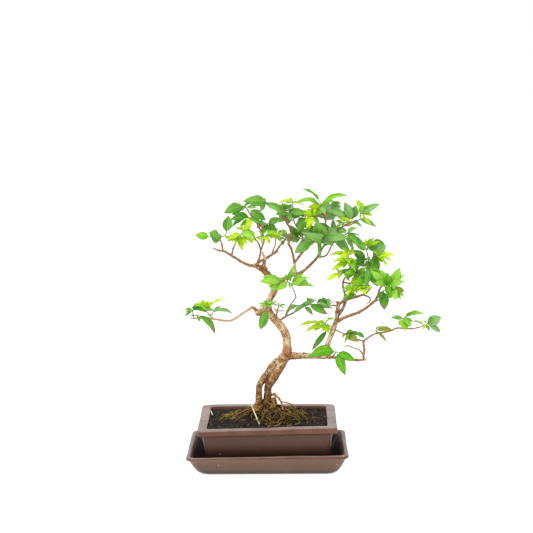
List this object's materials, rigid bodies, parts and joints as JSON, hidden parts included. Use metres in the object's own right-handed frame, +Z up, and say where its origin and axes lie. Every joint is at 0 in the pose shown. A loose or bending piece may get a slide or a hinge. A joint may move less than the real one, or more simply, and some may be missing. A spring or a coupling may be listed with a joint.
{
  "type": "syzygium bonsai",
  "caption": "Small leafy bonsai tree with an S-curved trunk, in a rectangular glazed brown pot on its drip tray.",
  "frame": {"origin": "centre of the drip tray's flat underside", "axes": "+Z up along the tree, +X to the right and +Y away from the viewer in the front view, where the pot's long side faces the viewer"},
  "size_m": [0.3662, 0.164, 0.4054],
  "materials": {
    "brown_glaze": "satin brown glaze, paler on the rims",
    "mesh_plastic": "black",
    "soil": "dark peaty crumbs with olive and brown moss",
    "bark": "smooth tan bark with pale patches and scars",
    "straw": "dry and pale",
    "mature_leaf": "leathery, satin",
    "lime_leaf": "young and glossy",
    "fresh_leaf": "young, satin"
  },
  "bodies": {
    "root": {"drip_tray": "brown_glaze", "pot": "brown_glaze", "drain_mesh_left": "mesh_plastic", "drain_mesh_right": "mesh_plastic", "soil": "soil", "wood": "bark", "pale_stalk": "straw", "far_left_shoot": "mature_leaf", "left_crown_shoot": "mature_leaf", "left_front_shoot": "mature_leaf", "left_inner_shoot": "mature_leaf", "left_lime_shoot": "lime_leaf", "inner_lime_shoot": "lime_leaf", "inner_fresh_shoot": "fresh_leaf", "inner_right_shoot": "mature_leaf", "top_left_shoot": "mature_leaf", "dark_twig_shoot": "mature_leaf", "top_lime_shoot": "lime_leaf", "crown_inner_shoot": "mature_leaf", "crown_grey_shoot": "mature_leaf", "crown_wide_shoot": "mature_leaf", "crown_low_shoot": "mature_leaf", "crown_lime_shoot": "lime_leaf", "crown_top_shoot": "lime_leaf", "crown_back_shoot": "mature_leaf", "right_long_shoot": "mature_leaf", "right_side_shoot": "mature_leaf", "right_crown_shoot": "mature_leaf", "right_pink_shoot": "mature_leaf", "right_lime_shoot": "lime_leaf", "right_front_shoot": "mature_leaf", "right_tip_shoot": "lime_leaf", "right_back_shoot": "mature_leaf", "right_left_shoot": "mature_leaf", "right_fan_shoot": "lime_leaf", "prong_lime_shoot": "lime_leaf", "prong_low_lime_shoot": "lime_leaf", "prong_leaf_shoot": "mature_leaf", "pink_right_shoot": "mature_leaf", "pink_fork_shoot": "mature_leaf", "limb_fresh_shoot": "fresh_leaf", "limb_leaf_shoot": "mature_leaf", "yellow_shoot": "lime_leaf", "second_leaf_shoot": "mature_leaf", "second_left_shoot": "mature_leaf", "trunk_fresh_spray": "fresh_leaf", "trunk_hanging_leaf": "mature_leaf", "trunk_fresh_shoot": "fresh_leaf", "middle_riser_shoot": "fresh_leaf", "middle_shoot": "mature_leaf", "lime_fan_shoot": "lime_leaf", "low_arm_leaves": "mature_leaf", "spotted_shoot": "mature_leaf", "olive_shoot": "mature_leaf", "heart_shoot": "mature_leaf", "right_end_shoot": "mature_leaf", "low_left_lime": "lime_leaf", "low_left_shoot": "mature_leaf", "low_left_hanging": "mature_leaf", "low_left_side_leaf": "mature_leaf"}
  },
  "joints": []
}
